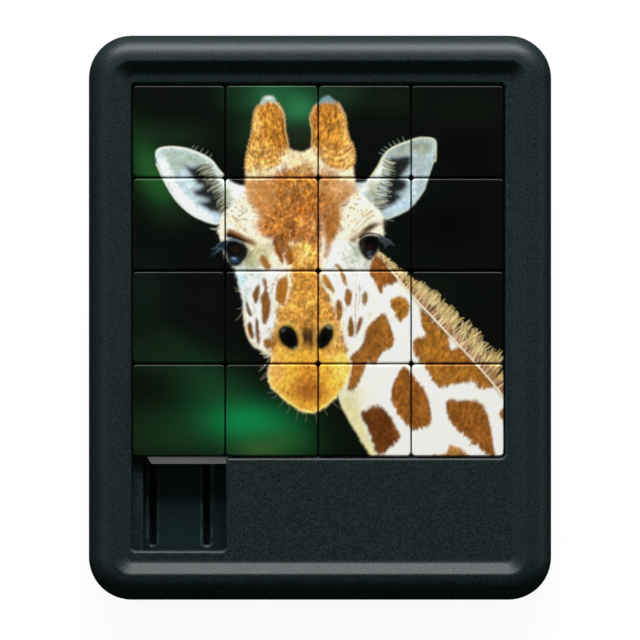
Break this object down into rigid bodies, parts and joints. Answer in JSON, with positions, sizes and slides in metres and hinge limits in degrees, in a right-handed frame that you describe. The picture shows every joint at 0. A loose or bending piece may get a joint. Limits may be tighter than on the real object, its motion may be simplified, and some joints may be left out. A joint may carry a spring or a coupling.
{
  "type": "sliding tile puzzle",
  "caption": "Hand-held sliding tile puzzle: square picture tiles interlock in a dark frame with a raised rim, and one parking bay below the lower left corner frees the tiles to move.",
  "frame": {"origin": "centre of the puzzle's outline, on the surface its back lies on", "axes": "+X to the right of the picture, +Y to the top of the picture, +Z out of the picture"},
  "size_m": [0.1, 0.122, 0.012],
  "materials": {
    "frame_plastic": "fine moulded grain, near black with a green cast",
    "tray_plastic": "smooth moulded, near black",
    "tile_plastic": "moulded mid grey",
    "picture_gloss": "glossy printed film wrapped over a rounded plate"
  },
  "bodies": {
    "housing": {"front_frame": "frame_plastic", "slide_tray": "tray_plastic", "back_cover": "frame_plastic"},
    "block_row1_col1": {"tile_row1_col1": "tile_plastic", "picture_row1_col1": "picture_gloss"},
    "block_row1_col2": {"tile_row1_col2": "tile_plastic", "picture_row1_col2": "picture_gloss"},
    "block_row1_col3": {"tile_row1_col3": "tile_plastic", "picture_row1_col3": "picture_gloss"},
    "block_row1_col4": {"tile_row1_col4": "tile_plastic", "picture_row1_col4": "picture_gloss"},
    "block_row2_col1": {"tile_row2_col1": "tile_plastic", "picture_row2_col1": "picture_gloss"},
    "block_row2_col2": {"tile_row2_col2": "tile_plastic", "picture_row2_col2": "picture_gloss"},
    "block_row2_col3": {"tile_row2_col3": "tile_plastic", "picture_row2_col3": "picture_gloss"},
    "block_row2_col4": {"tile_row2_col4": "tile_plastic", "picture_row2_col4": "picture_gloss"},
    "block_row3_col1": {"tile_row3_col1": "tile_plastic", "picture_row3_col1": "picture_gloss"},
    "block_row3_col2": {"tile_row3_col2": "tile_plastic", "picture_row3_col2": "picture_gloss"},
    "block_row3_col3": {"tile_row3_col3": "tile_plastic", "picture_row3_col3": "picture_gloss"},
    "block_row3_col4": {"tile_row3_col4": "tile_plastic", "picture_row3_col4": "picture_gloss"},
    "block_row4_col1": {"tile_row4_col1": "tile_plastic", "picture_row4_col1": "picture_gloss"},
    "block_row4_col2": {"tile_row4_col2": "tile_plastic", "picture_row4_col2": "picture_gloss"},
    "block_row4_col3": {"tile_row4_col3": "tile_plastic", "picture_row4_col3": "picture_gloss"},
    "block_row4_col4": {"tile_row4_col4": "tile_plastic", "picture_row4_col4": "picture_gloss"}
  },
  "joints": [
    {"name": "slide_row1_col1", "type": "slide", "parent": "housing", "child": "block_row1_col1", "axis": [0, -1, 0], "range_m": [0, 0.02]},
    {"name": "play_row1_col2", "type": "slide", "parent": "housing", "child": "block_row1_col2", "axis": [1, 0, 0], "range_m": [-0.00014, 0.00014]},
    {"name": "play_row1_col3", "type": "slide", "parent": "housing", "child": "block_row1_col3", "axis": [1, 0, 0], "range_m": [-0.00014, 0.00014]},
    {"name": "play_row1_col4", "type": "slide", "parent": "housing", "child": "block_row1_col4", "axis": [1, 0, 0], "range_m": [-0.00014, 0.00014]},
    {"name": "slide_row2_col1", "type": "slide", "parent": "housing", "child": "block_row2_col1", "axis": [0, -1, 0], "range_m": [0, 0.02]},
    {"name": "play_row2_col2", "type": "slide", "parent": "housing", "child": "block_row2_col2", "axis": [1, 0, 0], "range_m": [-0.00014, 0.00014]},
    {"name": "play_row2_col3", "type": "slide", "parent": "housing", "child": "block_row2_col3", "axis": [1, 0, 0], "range_m": [-0.00014, 0.00014]},
    {"name": "play_row2_col4", "type": "slide", "parent": "housing", "child": "block_row2_col4", "axis": [1, 0, 0], "range_m": [-0.00014, 0.00014]},
    {"name": "slide_row3_col1", "type": "slide", "parent": "housing", "child": "block_row3_col1", "axis": [0, -1, 0], "range_m": [0, 0.02]},
    {"name": "play_row3_col2", "type": "slide", "parent": "housing", "child": "block_row3_col2", "axis": [1, 0, 0], "range_m": [-0.00014, 0.00014]},
    {"name": "play_row3_col3", "type": "slide", "parent": "housing", "child": "block_row3_col3", "axis": [1, 0, 0], "range_m": [-0.00014, 0.00014]},
    {"name": "play_row3_col4", "type": "slide", "parent": "housing", "child": "block_row3_col4", "axis": [1, 0, 0], "range_m": [-0.00014, 0.00014]},
    {"name": "slide_row4_col1", "type": "slide", "parent": "housing", "child": "block_row4_col1", "axis": [0, -1, 0], "range_m": [0, 0.02]},
    {"name": "play_row4_col2", "type": "slide", "parent": "housing", "child": "block_row4_col2", "axis": [1, 0, 0], "range_m": [-0.00014, 0.00014]},
    {"name": "play_row4_col3", "type": "slide", "parent": "housing", "child": "block_row4_col3", "axis": [1, 0, 0], "range_m": [-0.00014, 0.00014]},
    {"name": "play_row4_col4", "type": "slide", "parent": "housing", "child": "block_row4_col4", "axis": [1, 0, 0], "range_m": [-0.00014, 0.00014]}
  ],
  "couplings": [
    {"joint": "slide_row1_col1", "follows": "slide_row4_col1", "ratio": 1},
    {"joint": "slide_row2_col1", "follows": "slide_row4_col1", "ratio": 1},
    {"joint": "slide_row3_col1", "follows": "slide_row4_col1", "ratio": 1}
  ]
}
